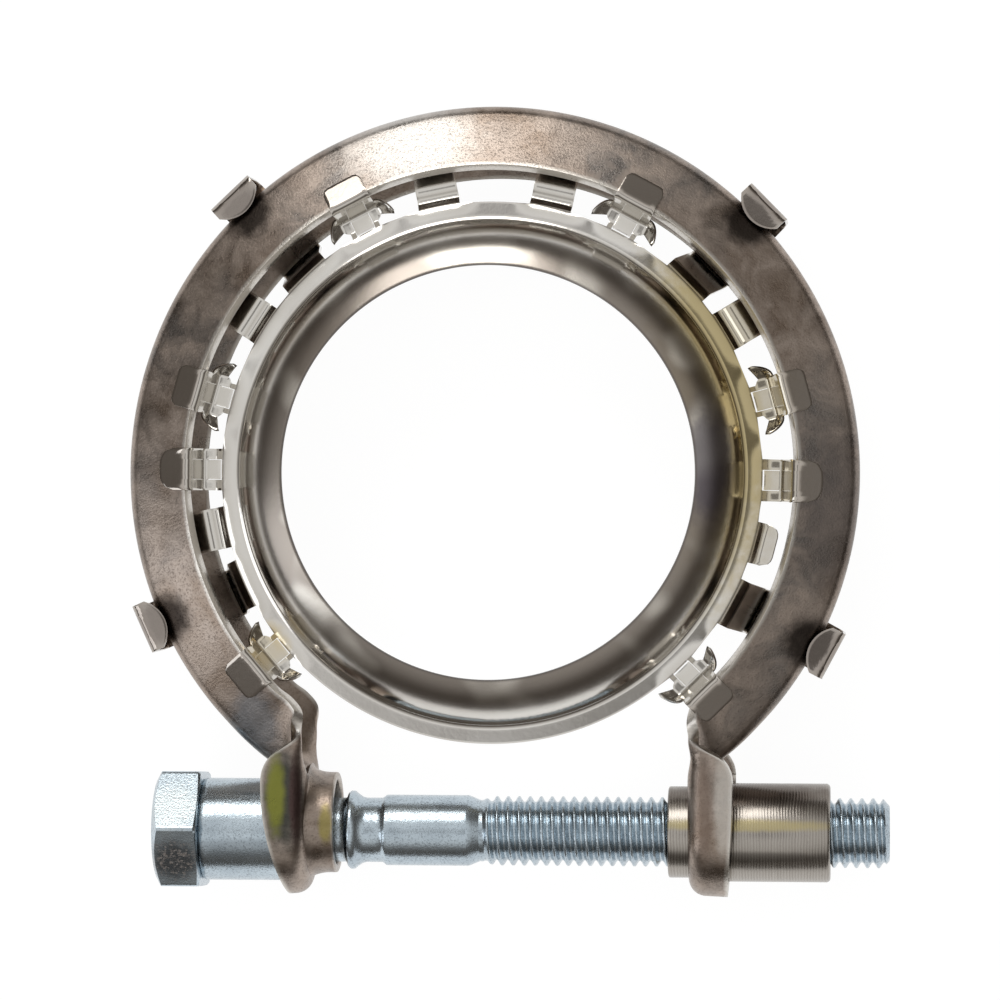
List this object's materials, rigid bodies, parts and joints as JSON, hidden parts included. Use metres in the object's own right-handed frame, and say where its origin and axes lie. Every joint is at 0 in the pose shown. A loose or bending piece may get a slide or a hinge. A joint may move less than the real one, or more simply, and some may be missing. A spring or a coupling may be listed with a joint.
{
  "type": "exhaust pipe clamp",
  "caption": "V-band exhaust clamp with pressed bolt ears, a captive shoulder bolt, a barrel nut and a thin clipped-in seal ring with tabs.",
  "frame": {"origin": "middle of the band's V groove, on the pipe's axis", "axes": "+Z along the pipe's axis, out of the side the seal ring's spigot stands out of; +X along the bolt to its tip; +Y away from the bolt"},
  "size_m": [0.0859, 0.0893, 0.0185],
  "materials": {
    "band_stainless": "satin",
    "ring_stainless": "polished",
    "bolt_zinc": "zinc plated",
    "nut_steel": "turned"
  },
  "bodies": {
    "clamp": {"clamp_band": "band_stainless", "seal_ring": "ring_stainless", "barrel_nut": "nut_steel"},
    "bolt": {"clamp_bolt": "bolt_zinc"}
  },
  "joints": [
    {"name": "bolt_turn", "type": "hinge", "parent": "clamp", "child": "bolt", "pos_m": [0, -0.0406, 0], "axis": [1, 0, 0], "continuous": true}
  ]
}
